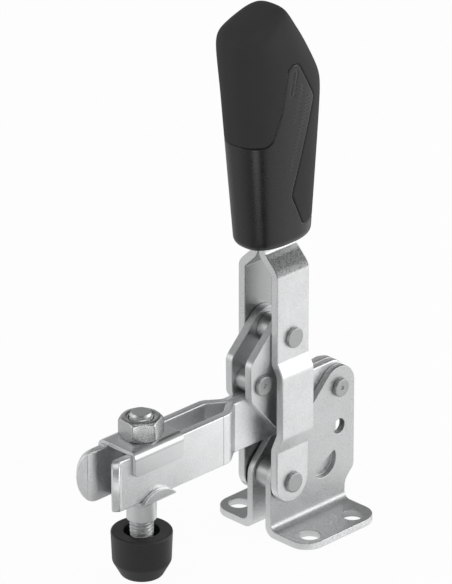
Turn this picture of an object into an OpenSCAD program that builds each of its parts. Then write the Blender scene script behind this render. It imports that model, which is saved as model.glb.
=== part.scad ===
// Vertical toggle clamp: a hand lever, an open holding arm and a rubber-tipped screw.
// X runs forward to the tip of the arm, Y to the left side and Z up. The origin is the
// middle of the four bolt holes, on the face that is bolted down. The clamp is closed.

/* [Base bracket] */
// Thickness of the two base plates and their feet
base_t = 2.5; // [2:0.1:3]
// Width over both feet
foot_span = 44; // [43:0.5:50]
// Foot ahead of the handle pivot
foot_front = 6.6; // [6.2:0.1:9]
// Foot behind the handle pivot
foot_rear = 28.3; // [27.5:0.1:30]
// Radius of the outer corners of the feet
foot_corner_r = 7; // [3:0.5:8]
// Bolt hole spacing along X
bolt_spacing_x = 20; // [18:0.5:21]
// Bolt hole spacing along Y
bolt_spacing_y = 32.5; // [31:0.5:34]
// Diameter of the bolt holes
bolt_hole_d = 7; // [5:0.1:7.2]
// Inner radius of the bend from plate to foot
fold_r = 1.2; // [0.6:0.1:1.6]
// Diameter of the spare hole under the arm pivot
side_hole_d = 5.2; // [4:0.1:7]
// Radius of the half-round pressed tab in each base plate
tab_r = 5.5; // [3.5:0.1:5.8]
// How deep the pressed tab is pushed inward at its sheared edge
tab_depth = 1.9; // [1:0.1:2.2]

/* [Linkage] */
// Handle pivot ahead of the middle of the bolt holes
pivot_x = 10.6; // [9:0.1:12]
// Handle pivot above the mounting face
pivot_z = 19.5; // [18:0.1:24]
// Arm pivot behind the handle pivot
arm_pivot_back = 25.2; // [24.4:0.1:26]
// Arm pivot above the handle pivot
arm_pivot_up = 24.4; // [24:0.1:25]
// Lower link pivot above the handle pivot
link_foot_up = 25; // [24.8:0.1:25.2]
// Link pivot on the handle, above the handle pivot
crank_len = 52; // [51.6:0.1:53]
// How far the lower link pivot lies behind the line of the other two when closed
over_centre = 0.4; // [0.1:0.1:0.8]
// Stop rivet ahead of the handle pivot
stop_x = 10.8; // [10.7:0.1:11.4]
// Diameter of the hardened bush on the stop rivet
stop_bush_d = 8; // [7:0.1:8.4]

/* [Sheets and pins] */
// Thickness of the two arm strips
arm_t = 2.8; // [2.5:0.1:3.2]
// Thickness of the two link plates
link_t = 2.9; // [2.5:0.1:3.2]
// Thickness of the two handle straps
strap_t = 3; // [2.5:0.1:3.2]
// Running clearance between plates that slide on each other
side_gap = 0.1; // [0.05:0.01:0.15]
// Diameter of the pivot pins and rivet shanks
pin_d = 5; // [4:0.1:5.4]
// Radial clearance of a pin that turns in a hole
run_gap = 0.05; // [0.02:0.01:0.08]
// Radial clearance of a bush or pin that is pressed in
press_gap = 0.02; // [0.01:0.01:0.04]
// Diameter of the rivet heads
head_d = 7; // [6:0.1:7.2]
// Height of the rivet heads
head_t = 1.3; // [0.8:0.1:1.4]
// Diameter of the rivet heads at the arm pivot
arm_head_d = 6.4; // [6:0.1:7.2]
// Height of the rivet heads at the arm pivot
arm_head_t = 2; // [1:0.1:2.2]
// Outer radius of the round ends of the plates
end_r = 7.25; // [7:0.05:7.5]
// Outer diameter of the pivot bushes in the arm
arm_bush_d = 8; // [7:0.1:9]
// Outer diameter of the spacer bush between the base plates
base_bush_d = 11; // [8:0.1:12]
// Outer diameter of the spacer bush between the link plates
link_bush_d = 10; // [8:0.1:11]

/* [Arm] */
// Tip of the arm ahead of the handle pivot
arm_reach = 80.9; // [78:0.1:90]
// Height of the arm strips
arm_h = 17.8; // [17:0.1:18.2]
// Top edge of the arm above the handle pivot
arm_top = 33.25; // [33:0.05:33.4]
// Length of the arm behind its pivot
arm_tail = 5.3; // [5:0.1:6]
// Radius of the two rear corners of the arm
arm_end_r = 6.5; // [4:0.1:7]
// Half of the slot between the spread strips
slot_half = 4.1; // [4.05:0.05:4.3]
// Where the strips start to spread, ahead of the handle pivot
spread_x = 21.8; // [21:0.1:24]
// Length of the spreading stretch
spread_len = 5.5; // [5:0.1:8]
// How far the flared tips reach along X
flare_len = 3.9; // [2:0.1:5]
// Bend radius on the inside of the arm's bends
arm_bend_r = 2; // [1:0.1:2.5]

/* [Handle] */
// Half width of the lateral bulge that clears the rivet heads, beyond the straight strap
bulge = 2.4; // [2.2:0.05:2.6]
// Bottom of the flat of the bulge above the handle pivot
bulge_low = 18.9; // [18:0.1:20]
// Top of the flat of the bulge above the handle pivot
bulge_high = 39.5; // [39:0.1:40]
// Length of the lower joggle
joggle_low = 6; // [5:0.1:7]
// Length of the upper joggle
joggle_high = 4.2; // [4:0.1:5]
// Where the straps start to close in below the grip
neck_z = 74.6; // [73:0.1:76]
// Where the straps end inside the grip
tang_top = 125; // [110:1:135]
// Bend radius on the inside of the strap bends
strap_bend_r = 1.5; // [1:0.1:2]

/* [Grip] */
// Underside of the grip above the handle pivot
grip_low = 84.4; // [83:0.1:86]
// Top of the grip above the handle pivot
grip_top = 165.9; // [163:0.1:175]
// Half width of the grip at its lower end
grip_half_w = 9.3; // [8.5:0.1:10]
// Growth of the half width for each millimetre of height
grip_widen = 0.043; // [0.02:0.001:0.06]
// Front of the grip at its lower end
grip_front = 14.8; // [14:0.1:17]
// Rear of the grip at its lower end
grip_rear = 13.1; // [12:0.1:15]
// Crest of the grip ahead of the handle pivot
crest_x = 2.4; // [0:0.1:5]
// Half depth over which the crest is rounded
crown = 2.9; // [2:0.1:4]
// Thickness of the soft skin
skin_t = 1.6; // [1.2:0.1:2]
// Height of the hard lower end at the rear of the grip
hard_rear_h = 6.4; // [4:0.1:9]
// Height of the hard lower end at the front of the grip
hard_front_h = 36.8; // [30:0.1:42]
// Top of the hard leaf on each side, below the top of the grip
leaf_top_depth = 10.8; // [9:0.1:14]
// Rear corner of the leaf below the top of the grip
leaf_rear_depth = 31; // [28:0.1:34]

/* [Clamping screw] */
// Screw behind the tip of the arm
screw_back = 21; // [19.5:0.1:26]
// Nominal thread diameter
screw_d = 8; // [6:0.1:8]
// Length of the screw under its head
screw_len = 45; // [42:0.5:50]
// Screw end above the top saddle
screw_over = 8.4; // [7.6:0.1:10]
// Width across the flats of the nut and of the screw head
nut_af = 13; // [11:0.1:14]
// Height of the nut
nut_h = 6.8; // [5:0.1:7]
// Thickness of the two saddles
saddle_t = 1.5; // [1.2:0.1:2]
// Length of the top saddle
saddle_len = 21.6; // [18:0.1:22]
// Height of the flanges of the top saddle
saddle_flange = 7; // [4:0.1:8]
// Radius of the blank of the lower saddle
lower_saddle_r = 9.8; // [9:0.1:11]
// Outer diameter of the threaded neck of the lower saddle
neck_d = 9.8; // [9.6:0.1:11]
// Length of the threaded neck
neck_len = 9.6; // [6:0.1:11]
// Diameter of the rubber cap
cap_d = 20.1; // [18:0.1:22]
// Height of the rubber cap
cap_h = 15.8; // [13:0.1:17]
// How much the sides of the rubber cap draw in from its top to the taper
cap_draft = 0.45; // [0:0.05:1]
// Diameter of the flat end of the rubber cap
cap_tip_d = 13.4; // [10:0.1:17]
// Height of the tapered end of the rubber cap
cap_taper_h = 5.5; // [3:0.1:6]
// Diameter of the recess in the top of the cap
recess_d = 11.7; // [10:0.1:12.5]
// Depth of the recess in the top of the cap
recess_h = 3; // [1:0.1:4]

/* [Hidden] */
$fn = 48;

// Pivots in the side view, as [X, Z]
handle_pivot = [pivot_x, pivot_z];
arm_pivot = handle_pivot + [-arm_pivot_back, arm_pivot_up];
link_foot = handle_pivot + [-over_centre, link_foot_up];
link_head = handle_pivot + [0, crank_len];
link_len = norm(link_head - link_foot);
link_lean = atan((link_head[0] - link_foot[0]) / (link_head[1] - link_foot[1]));

// Faces across the clamp, as distances from the middle plane
arm_y = arm_t;
link_in_y = arm_y + side_gap;
link_out_y = link_in_y + link_t;
base_in_y = arm_y + side_gap;
base_out_y = base_in_y + base_t;
strap_in_y = max(link_out_y, base_out_y) + side_gap;
strap_out_y = strap_in_y + strap_t;
spread_y = slot_half + arm_t;
pin_r = pin_d / 2;

// Heights and stations of the arm
arm_top_z = pivot_z + arm_top;
arm_low_z = arm_top_z - arm_h;
arm_mid_z = arm_top_z - arm_h / 2;
arm_tip_x = pivot_x + arm_reach;
flare_x = arm_tip_x - flare_len;

// The link plate in its own frame, with its lower pivot at the origin
link_end_r = end_r - 0.25;
link_front = 16.3;
link_nose_r = 4;
link_top_normal = 46;
link_low_normal = 41;
stop_r = stop_bush_d / 2;
stop_rest_gap = 0.15;
stop_z = arm_top_z + stop_r + stop_rest_gap;
stop_pivot = [pivot_x + stop_x, stop_z];

// Flush rivet at the hidden pivot between link and arm
flush_head_t = 0.5;
flush_head_d = 6.4;
end_play = 0.1;

// Slanted front edge of the base plates
slant_corner_z = arm_pivot[1] + end_r * sqrt(2) - (foot_front + arm_pivot_back);
slant_corner_r = 8;
waist_low_z = pivot_z - 10.8;
waist_high_z = pivot_z - 6.6;
waist_low_r = 5;
waist_high_r = 2.5;
tab_at = [arm_pivot[0] + 6.8, pivot_z - 0.7];
tab_turn = 30;
side_hole = arm_pivot - [0.1, 14.4];

// Screw set
set_x = arm_tip_x - screw_back;
saddle_top_z = arm_top_z + saddle_t;
saddle_in_y = spread_y + side_gap;
screw_top_z = saddle_top_z + screw_over;
head_top_z = screw_top_z - screw_len;
screw_head_h = 5.3;
cap_top_z = head_top_z + recess_h;
screw_r = screw_d / 2 - 0.05;
corner_turn = 23.5;

// Grip: lines of the side view and the closing curves at both ends
grip_seg = 36;
grip_edge_r = 3;
grip_power = 2.5;
front_lean = 0.096;
rear_lean = 0.068;
top_run = 2.45;
back_run = 0.62;
front_soft = 4.4;
back_soft = 2.8;
side_soft = 2.1;
side_bow = 0.5;
side_bow_start = 1.6;
crown_steps = [26, 22, 17.5, 13, 10.5, 8.5, 7, 5.6, 4.2, 2.9, 1.8, 0.9, 0.35, 0.03];
seam_gap = 0.06;
tang_gap = 0.1;

function dir(a, b) = (b - a) / norm(b - a);
function cross2(a, b) = a[0] * b[1] - a[1] * b[0];
function spot(c) = [c[0], c[1]];
function before(v, i) = spot(v[(i + len(v) - 1) % len(v)]);
function after(v, i) = spot(v[(i + 1) % len(v)]);
function half_angle(v, i) = acos(dir(spot(v[i]), before(v, i)) * dir(spot(v[i]), after(v, i))) / 2;
function setback(v, i) = v[i][2] / tan(half_angle(v, i));
function bulges(v, i) = cross2(spot(v[i]) - before(v, i), after(v, i) - spot(v[i])) > 0;
function arc_centre(v, i) =
    let (p = spot(v[i]), m = dir(p, before(v, i)) + dir(p, after(v, i)))
    p + m / norm(m) * v[i][2] / sin(half_angle(v, i));
function corner_points(v, i) =
    let (p = spot(v[i]))
    v[i][2] > 0
        ? [p + dir(p, before(v, i)) * setback(v, i), p + dir(p, after(v, i)) * setback(v, i)]
        : [p];

// Closed outline with true arcs: v lists [x, y, corner radius], counter-clockwise
module corner_cap(v, i) {
    ends = corner_points(v, i);
    middle = (ends[0] + ends[1]) / 2;
    intersection() {
        translate(arc_centre(v, i)) circle(v[i][2]);
        polygon([ends[0], spot(v[i]), ends[1], middle + (arc_centre(v, i) - middle) * 0.15]);
    }
}

module outline(v) {
    last = len(v) - 1;
    difference() {
        union() {
            polygon([for (i = [0:last]) each corner_points(v, i)]);
            for (i = [0:last]) if (v[i][2] > 0 && bulges(v, i)) corner_cap(v, i);
        }
        for (i = [0:last]) if (v[i][2] > 0 && !bulges(v, i)) corner_cap(v, i);
    }
}

// Section of a bent sheet: path runs along one face, and the sheet lies to its left
function step_normal(p, i) = let (d = dir(p[i], p[i + 1])) [-d[1], d[0]];
function face_normal(p, i) =
    let (a = step_normal(p, max(i - 1, 0)), b = step_normal(p, min(i, len(p) - 2)))
    (a + b) / (1 + a * b);
function turn_at(p, i) = cross2(p[i] - p[i - 1], p[i + 1] - p[i]);
function bend_radius(p, i, r, t) =
    i == 0 || i == len(p) - 1 || abs(turn_at(p, i)) < 0.001 ? 0 : turn_at(p, i) > 0 ? r + t : r;
module sheet(path, t, r) {
    last = len(path) - 1;
    outline(concat(
        [for (i = [0:last]) [path[i][0], path[i][1], bend_radius(path, i, r, t)]],
        [for (i = [last:-1:0])
            let (q = path[i] + face_normal(path, i) * t, b = bend_radius(path, i, r, t))
            [q[0], q[1], b == 0 ? 0 : 2 * r + t - b]]
    ));
}

// Prism with its outline in the side view, from y_low to y_high
module side_prism(y_low, y_high) {
    translate([0, y_high, 0]) rotate([90, 0, 0]) linear_extrude(y_high - y_low) children();
}

// Prism with its outline in the front view, as [Y, Z], from x_low to x_high
module front_prism(x_low, x_high) {
    translate([x_low, 0, 0]) rotate([90, 0, 90]) linear_extrude(x_high - x_low) children();
}

// Cylinder across the clamp at a pivot
module cross_rod(at, r, y_low, y_high) {
    translate([at[0], y_high, at[1]]) rotate([90, 0, 0]) cylinder(r = r, h = y_high - y_low);
}

// Tube across the clamp at a pivot
module cross_bush(at, r_out, r_in, half) {
    difference() {
        cross_rod(at, r_out, -half, half);
        cross_rod(at, r_in, -half - 1, half + 1);
    }
}

// Rivet across the clamp with a chamfered head on each side
module cross_rivet(at, shank_r, shoulder_y, cap_d, cap_t) {
    cross_rod(at, shank_r, -shoulder_y, shoulder_y);
    for (side = [0, 1]) mirror([0, side, 0]) rivet_head(at, shoulder_y, cap_d, cap_t);
}

module rivet_head(at, shoulder_y, cap_d, cap_t) {
    edge = cap_t * 0.35;
    translate([at[0], shoulder_y, at[1]]) rotate([-90, 0, 0]) rotate_extrude()
        polygon([[0, 0], [cap_d / 2, 0], [cap_d / 2, cap_t - edge], [cap_d / 2 - edge, cap_t], [0, cap_t]]);
}

// Base: two mirrored plates with feet bent outward

module base_side_outline() {
    back = arm_pivot[0] - end_r;
    outline([
        [pivot_x - foot_rear, 0, 0],
        [pivot_x + foot_front, 0, 0],
        [pivot_x + foot_front, slant_corner_z, slant_corner_r],
        [back, arm_pivot[1] + end_r * (1 + sqrt(2)), end_r - 0.001],
        [back, waist_high_z, waist_high_r],
        [pivot_x - foot_rear, waist_low_z, waist_low_r]
    ]);
}

module foot_corner(x, side) {
    translate([x, foot_span / 2, -1]) mirror([side, 0, 0]) linear_extrude(base_t + 2)
        difference() {
            translate([-foot_corner_r, -foot_corner_r]) square(foot_corner_r + 1);
            translate([-foot_corner_r, -foot_corner_r]) circle(foot_corner_r);
        }
}

module tab_half_disc() {
    intersection() {
        circle(tab_r);
        translate([-tab_r - 1, -tab_r - 1]) square([2 * tab_r + 2, tab_r + 1]);
    }
}

// Moves from the tab's own frame, with y towards its sheared edge, to the base plate
module at_tab() {
    translate([tab_at[0], 0, tab_at[1]]) rotate([0, tab_turn, 0]) children();
}

module base_plate() {
    tilt = atan(tab_depth / tab_r);
    difference() {
        union() {
            difference() {
                intersection() {
                    front_prism(arm_pivot[0] - end_r - 1, pivot_x + foot_front + 1)
                        sheet([[base_in_y, arm_pivot[1] + end_r + 1], [base_in_y, 0], [foot_span / 2, 0]], base_t, fold_r);
                    side_prism(0, foot_span) base_side_outline();
                }
                foot_corner(pivot_x + foot_front, 0);
                foot_corner(pivot_x - foot_rear, 1);
            }
            at_tab() intersection() {
                side_prism(base_in_y - tab_depth, base_in_y + 0.2) tab_half_disc();
                translate([0, base_in_y - tab_depth, 0]) rotate([-tilt, 0, 0])
                    translate([-tab_r, 0, -2 * tab_r]) cube([2 * tab_r, base_t, 3 * tab_r]);
            }
        }
        at_tab() intersection() {
            side_prism(base_out_y - tab_depth, base_out_y + 1) tab_half_disc();
            translate([0, base_out_y - tab_depth, 0]) rotate([-tilt, 0, 0])
                translate([-tab_r, 0, -2 * tab_r]) cube([2 * tab_r, 2 * base_t, 3 * tab_r]);
        }
        for (x = [-1, 1]) translate([x * bolt_spacing_x / 2, bolt_spacing_y / 2, -1])
            cylinder(d = bolt_hole_d, h = base_t + 2);
        cross_rod(side_hole, side_hole_d / 2, 0, foot_span);
        cross_rod(handle_pivot, pin_r + press_gap, 0, foot_span);
        cross_rod(arm_pivot, pin_r + press_gap, 0, foot_span);
    }
}

module base_plate_left() { color("gainsboro") base_plate(); }
module base_plate_right() { color("gainsboro") mirror([0, 1, 0]) base_plate(); }

module base_spacer_bush() {
    color("darkgray") cross_bush(handle_pivot, base_bush_d / 2, pin_r + press_gap, base_in_y);
}

module handle_pivot_pin() {
    color("silver") cross_rivet(handle_pivot, pin_r, strap_out_y + end_play / 2, head_d, head_t);
}

module arm_pivot_pin() {
    color("silver") cross_rivet(arm_pivot, pin_r, base_out_y, arm_head_d, arm_head_t);
}

// Holding arm: two strips back to back, spread apart in front to make the screw slot

module arm_side_outline() {
    outline([
        [arm_pivot[0] - arm_tail, arm_low_z, arm_end_r],
        [arm_tip_x + arm_h, arm_low_z, 0],
        [arm_tip_x + arm_h, arm_top_z, 0],
        [arm_pivot[0] - arm_tail, arm_top_z, arm_end_r]
    ]);
}

// What rounds off the flared tip: all of it that lies outside half an ellipse
module tip_cut() {
    reach = flare_len * sqrt(2);
    half = arm_h / 2 + 0.02;
    translate([flare_x, slot_half, 0]) rotate([0, 0, 45]) side_prism(-arm_h, arm_h) difference() {
        translate([0, arm_low_z - 1]) square([3 * arm_h, arm_h + 2]);
        polygon(concat([[-1, arm_mid_z - half]],
            [for (a = [-90:6:90]) [reach * cos(a), arm_mid_z + half * sin(a)]],
            [[-1, arm_mid_z + half]]));
    }
}

module arm_strip() {
    difference() {
        intersection() {
            translate([0, 0, arm_low_z - 2]) linear_extrude(arm_h + 4) sheet([
                [arm_pivot[0] - arm_tail - 1, 0],
                [pivot_x + spread_x, 0],
                [pivot_x + spread_x + spread_len, slot_half],
                [flare_x, slot_half],
                [flare_x + flare_len + arm_h, slot_half + flare_len + arm_h]
            ], arm_t, arm_bend_r);
            side_prism(-1, 3 * arm_h) arm_side_outline();
        }
        tip_cut();
        for (at = [arm_pivot, link_foot]) cross_rod(at, arm_bush_d / 2 + press_gap, -1, foot_span);
    }
}

module arm_strip_left() { color("whitesmoke") arm_strip(); }
module arm_strip_right() { color("whitesmoke") mirror([0, 1, 0]) arm_strip(); }

module arm_rear_bush() {
    color("darkgray") cross_bush(arm_pivot, arm_bush_d / 2, pin_r + run_gap, arm_y);
}

module arm_front_bush() {
    color("darkgray") cross_bush(link_foot, arm_bush_d / 2, pin_r + run_gap, arm_y);
}

// Link: two plates that join the arm to the handle and carry the stop

module link_outline() {
    top_at = function(x) link_len + (link_end_r - x * cos(link_top_normal)) / sin(link_top_normal);
    low_at = function(x) (x * cos(link_low_normal) - link_end_r) / sin(link_low_normal);
    outline([
        [-link_end_r, low_at(-link_end_r), link_end_r - 0.001],
        [link_front, low_at(link_front), link_nose_r],
        [link_front, top_at(link_front), link_nose_r],
        [-link_end_r, top_at(-link_end_r), link_end_r - 0.001]
    ]);
}

module link_plate() {
    difference() {
        translate([link_foot[0], 0, link_foot[1]]) rotate([0, link_lean, 0])
            side_prism(link_in_y, link_out_y) link_outline();
        for (at = [link_foot, link_head, stop_pivot])
            cross_rod(at, pin_r + press_gap, 0, foot_span);
    }
}

module link_plate_left() { color("lightgray") link_plate(); }
module link_plate_right() { color("lightgray") mirror([0, 1, 0]) link_plate(); }

module link_spacer_bush() {
    color("darkgray") cross_bush(link_head, link_bush_d / 2, pin_r + press_gap, link_in_y);
}

module link_head_pin() {
    color("silver") cross_rod(link_head, pin_r, -link_out_y, link_out_y);
}

module link_arm_pin() {
    color("silver") cross_rivet(link_foot, pin_r, link_out_y, flush_head_d, flush_head_t);
}

module stop_bush() {
    color("darkgray") cross_bush(stop_pivot, stop_r, pin_r + press_gap, link_in_y);
}

module stop_rivet() {
    color("silver") cross_rivet(stop_pivot, pin_r, link_out_y, head_d, head_t);
}

// Handle: two straps that close together inside a two-part grip

module strap_side_outline() {
    outline([
        [pivot_x - end_r, pivot_z - end_r, end_r - 0.01],
        [pivot_x + end_r, pivot_z - end_r, end_r - 0.01],
        [pivot_x + end_r, pivot_z + tang_top, 2],
        [pivot_x - end_r, pivot_z + tang_top, 2]
    ]);
}

module handle_strap() {
    difference() {
        intersection() {
            front_prism(pivot_x - end_r - 1, pivot_x + end_r + 1) translate([0, pivot_z]) sheet([
                [0, tang_top + 1],
                [0, neck_z + strap_in_y],
                [strap_in_y, neck_z],
                [strap_in_y, bulge_high + joggle_high],
                [strap_in_y + bulge, bulge_high],
                [strap_in_y + bulge, bulge_low],
                [strap_in_y, bulge_low - joggle_low],
                [strap_in_y, -end_r - 1]
            ], strap_t, strap_bend_r);
            side_prism(0, strap_out_y + bulge + 1) strap_side_outline();
        }
        cross_rod(handle_pivot, pin_r + run_gap, 0, foot_span);
        cross_rod(link_head, pin_r + press_gap, 0, foot_span);
    }
}

module handle_strap_left() { color("gainsboro") handle_strap(); }
module handle_strap_right() { color("gainsboro") mirror([0, 1, 0]) handle_strap(); }

module handle_link_rivets() {
    color("silver") for (side = [0, 1]) mirror([0, side, 0]) {
        cross_rod(link_head, pin_r, strap_in_y, strap_out_y);
        rivet_head(link_head, strap_out_y, head_d, head_t);
    }
}

// Grip: level sections between the front, rear and side lines of its outline. Above the
// shoulders these lines run on to the crest, where each section draws in to a rounded crown.
function soft_min(a, b, k) = (a + b - sqrt((a - b) * (a - b) + k * k)) / 2;
function front_at(z) = soft_min(
    grip_front + front_lean * (z - grip_low),
    crown + crest_x + top_run * (grip_top - z),
    front_soft);
function rear_at(z) = -soft_min(
    grip_rear + rear_lean * (z - grip_low),
    crown - crest_x + back_run * (grip_top - z),
    back_soft);
function side_at(z) = soft_min(
    grip_half_w + grip_widen * (z - grip_low),
    grip_half_w + side_bow * (grip_top - z) - side_bow_start,
    side_soft);
function half_depth(z) = (front_at(z) - rear_at(z)) / 2;
function crown_share(z) = sqrt(max(1 - pow(half_depth(grip_top) / half_depth(z), 2), 0));
function close_in(u, r) = u >= r ? 0 : r - sqrt(r * r - (r - u) * (r - u));
function power_point(a, n) = [
    sign(cos(a)) * pow(abs(cos(a)), 2 / n),
    sign(sin(a)) * pow(abs(sin(a)), 2 / n)
];
function level(z, inset) =
    let (
        u = z + inset,
        cut = inset + close_in(z - grip_low, grip_edge_r),
        m = (front_at(u) + rear_at(u)) / 2,
        h = (half_depth(u) - cut) * crown_share(u),
        s = (side_at(u) - cut) * crown_share(u)
    )
    [for (i = [0:grip_seg - 1])
        let (p = power_point(360 * (i + 0.5) / grip_seg, grip_power))
        [pivot_x + m + h * p[0], s * p[1], pivot_z + z]];

// Heights of the sections, closer together at both ends, for a solid inset by d
function levels(d) = let (wall = grip_top - crown_steps[0] - grip_low - grip_edge_r) concat(
    [for (u = [0, 0.13, 0.4, 0.73, 1]) grip_low + d + grip_edge_r * u],
    [for (u = [1:4]) grip_low + grip_edge_r + wall * u / 5],
    [for (u = crown_steps) grip_top - d - max(u, d * 0.17)]
);

module grip_solid(d) {
    zs = levels(d);
    n = grip_seg;
    rings = len(zs);
    polyhedron(
        points = [for (z = zs) each level(z, d)],
        faces = concat(
            [[for (i = [0:n - 1]) i]],
            [for (k = [0:rings - 2], i = [0:n - 1])
                [k * n + i, (k + 1) * n + i, (k + 1) * n + (i + 1) % n, k * n + (i + 1) % n]],
            [[for (i = [n - 1:-1:0]) (rings - 1) * n + i]]
        )
    );
}

// Side view of the region where the hard body shows: the lower end and a leaf on each side
leaf_front_x = 7.5;
leaf_front_depth = 32.9;
leaf_front_r = 20;
leaf_top_x = 4.75;
leaf_top_r = 3.2;
leaf_rear_x = 7.4;
leaf_rear_r = 3;
leaf_waist_x = 1.8;
leaf_waist_h = 18.2;
leaf_foot_x = 4;
leaf_root_x = 11;
leaf_root_r = 4;
leaf_corner_r = 2;
hard_front_rise = 1;

module hard_zone(grow) {
    low = grip_low + hard_rear_h;
    front = grip_low + hard_front_h;
    translate(handle_pivot) outline([
        [-foot_span, grip_low - foot_span, 0],
        [foot_span, grip_low - foot_span, 0],
        [foot_span, front + grow, 0],
        [leaf_root_x + grow, front + hard_front_rise + grow, leaf_root_r],
        [leaf_front_x + grow, grip_top - leaf_front_depth, leaf_front_r],
        [leaf_top_x + grow, grip_top - leaf_top_depth + grow, leaf_top_r],
        [-leaf_rear_x - grow, grip_top - leaf_rear_depth, leaf_rear_r],
        [leaf_waist_x - grow, grip_low + leaf_waist_h, leaf_corner_r],
        [-leaf_foot_x - grow, low + grow, leaf_corner_r],
        [-foot_span, low + grow, 0]
    ]);
}

module tang_slot() {
    translate([pivot_x - end_r - tang_gap, -strap_t - tang_gap, pivot_z])
        cube([2 * (end_r + tang_gap), 2 * (strap_t + tang_gap), tang_top + 1]);
}

module grip_core() {
    color("#262626") difference() {
        union() {
            grip_solid(skin_t);
            intersection() {
                grip_solid(0);
                side_prism(-foot_span, foot_span) hard_zone(0);
            }
        }
        tang_slot();
    }
}

module grip_skin() {
    color("#1c1c1c") difference() {
        grip_solid(0);
        grip_solid(skin_t - seam_gap);
        side_prism(-foot_span, foot_span) hard_zone(seam_gap);
    }
}

// Screw set: two saddles that hug the arm, a lock nut, the screw and its rubber cap

module upper_saddle() {
    low = arm_top_z - saddle_flange;
    color("lightgray") difference() {
        intersection() {
            front_prism(set_x - saddle_len / 2, set_x + saddle_len / 2) sheet([
                [-saddle_in_y, low - 1], [-saddle_in_y, arm_top_z],
                [saddle_in_y, arm_top_z], [saddle_in_y, low - 1]
            ], saddle_t, side_gap);
            side_prism(-foot_span, foot_span) outline([
                [set_x - saddle_len / 2, low, 1.2], [set_x + saddle_len / 2, low, 1.2],
                [set_x + saddle_len / 2, saddle_top_z + 1, 0], [set_x - saddle_len / 2, saddle_top_z + 1, 0]
            ]);
        }
        translate([set_x, 0, low]) cylinder(r = screw_r + 0.3, h = saddle_flange + 9);
    }
}

module lower_saddle() {
    bend_z = arm_low_z - saddle_in_y;
    color("lightgray") difference() {
        union() {
            intersection() {
                front_prism(set_x - 2 * saddle_len, set_x + 2 * saddle_len) lower_saddle_section();
                union() {
                    translate([set_x, 0, arm_low_z - saddle_t - 1]) intersection() {
                        cylinder(r = lower_saddle_r, h = saddle_t + 2);
                        translate([-foot_span, -saddle_in_y, 0]) cube([2 * foot_span, 2 * saddle_in_y, saddle_t + 2]);
                    }
                    difference() {
                        cross_rod([set_x, bend_z], lower_saddle_r, -foot_span, foot_span);
                        translate([0, -saddle_in_y, 0]) cube([3 * foot_span, 2 * saddle_in_y, 3 * foot_span]);
                    }
                }
            }
            translate([set_x, 0, arm_low_z - saddle_t - neck_len]) cylinder(d = neck_d, h = neck_len + saddle_t / 2);
        }
        translate([set_x, 0, arm_low_z - saddle_t - neck_len - 1])
            cylinder(r = screw_r + run_gap, h = neck_len + saddle_t + 3);
    }
}

module lower_saddle_section() {
    high = arm_low_z + lower_saddle_r;
    sheet([
        [saddle_in_y, high], [saddle_in_y, arm_low_z],
        [-saddle_in_y, arm_low_z], [-saddle_in_y, high]
    ], saddle_t, side_gap);
}

// Hexagonal prism with both ends chamfered by a cone, standing on z = 0
module hex_block(af, h, chamfer_low) {
    corner_r = af / sqrt(3);
    cut = corner_r - af / 2;
    intersection() {
        cylinder(r = corner_r, h = h, $fn = 6);
        rotate_extrude() polygon([
            [0, 0], [chamfer_low ? af / 2 * 0.97 : corner_r + 1, 0], [corner_r + 1, chamfer_low ? cut * 0.75 + 0.7 : 0],
            [corner_r + 1, h - cut * 0.75 - 0.7], [af / 2 * 0.97, h], [0, h]
        ]);
    }
}

module lock_nut() {
    color("gray") translate([set_x, 0, saddle_top_z]) difference() {
        rotate([0, 0, corner_turn]) hex_block(nut_af, nut_h, false);
        translate([0, 0, -1]) cylinder(r = screw_r + press_gap, h = nut_h + 2);
    }
}

module clamping_screw() {
    top_edge = 1;
    color("silver") translate([set_x, 0, 0]) {
        translate([0, 0, head_top_z - 0.5]) rotate_extrude() polygon([
            [0, 0], [screw_r, 0], [screw_r, screw_len + 0.5 - top_edge],
            [screw_r - top_edge, screw_len + 0.5], [0, screw_len + 0.5]
        ]);
        translate([0, 0, head_top_z - screw_head_h]) rotate([0, 0, corner_turn])
            hex_block(nut_af, screw_head_h, false);
    }
}

module rubber_cap() {
    r = cap_d / 2;
    tip_r = cap_tip_d / 2;
    edge = 0.6;
    color("#202020") translate([set_x, 0, 0]) difference() {
        translate([0, 0, cap_top_z - cap_h]) rotate_extrude() polygon([
            [0, 0], [tip_r - edge, 0], [tip_r + edge / 3, edge], [r - cap_draft, cap_taper_h],
            [r, cap_h - edge], [r - edge, cap_h], [0, cap_h]
        ]);
        translate([0, 0, head_top_z - 0.2]) cylinder(d = recess_d, h = recess_h + 1.2);
        translate([0, 0, head_top_z - screw_head_h - press_gap]) rotate([0, 0, corner_turn])
            cylinder(r = nut_af / sqrt(3) + press_gap, h = screw_head_h + 2 * press_gap, $fn = 6);
    }
}

base_plate_left();
base_plate_right();
base_spacer_bush();
handle_pivot_pin();
arm_pivot_pin();
arm_strip_left();
arm_strip_right();
arm_rear_bush();
arm_front_bush();
link_plate_left();
link_plate_right();
link_spacer_bush();
link_head_pin();
link_arm_pin();
stop_bush();
stop_rivet();
handle_strap_left();
handle_strap_right();
handle_link_rivets();
grip_core();
grip_skin();
upper_saddle();
lower_saddle();
lock_nut();
clamping_screw();
rubber_cap();
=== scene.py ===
"""Visual model of a vertical toggle clamp: zinc-plated links, a two-part grip and a rubber-tipped screw."""

import math

import bmesh
import bpy
import numpy as np

from mathutils import Matrix, Vector


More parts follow.
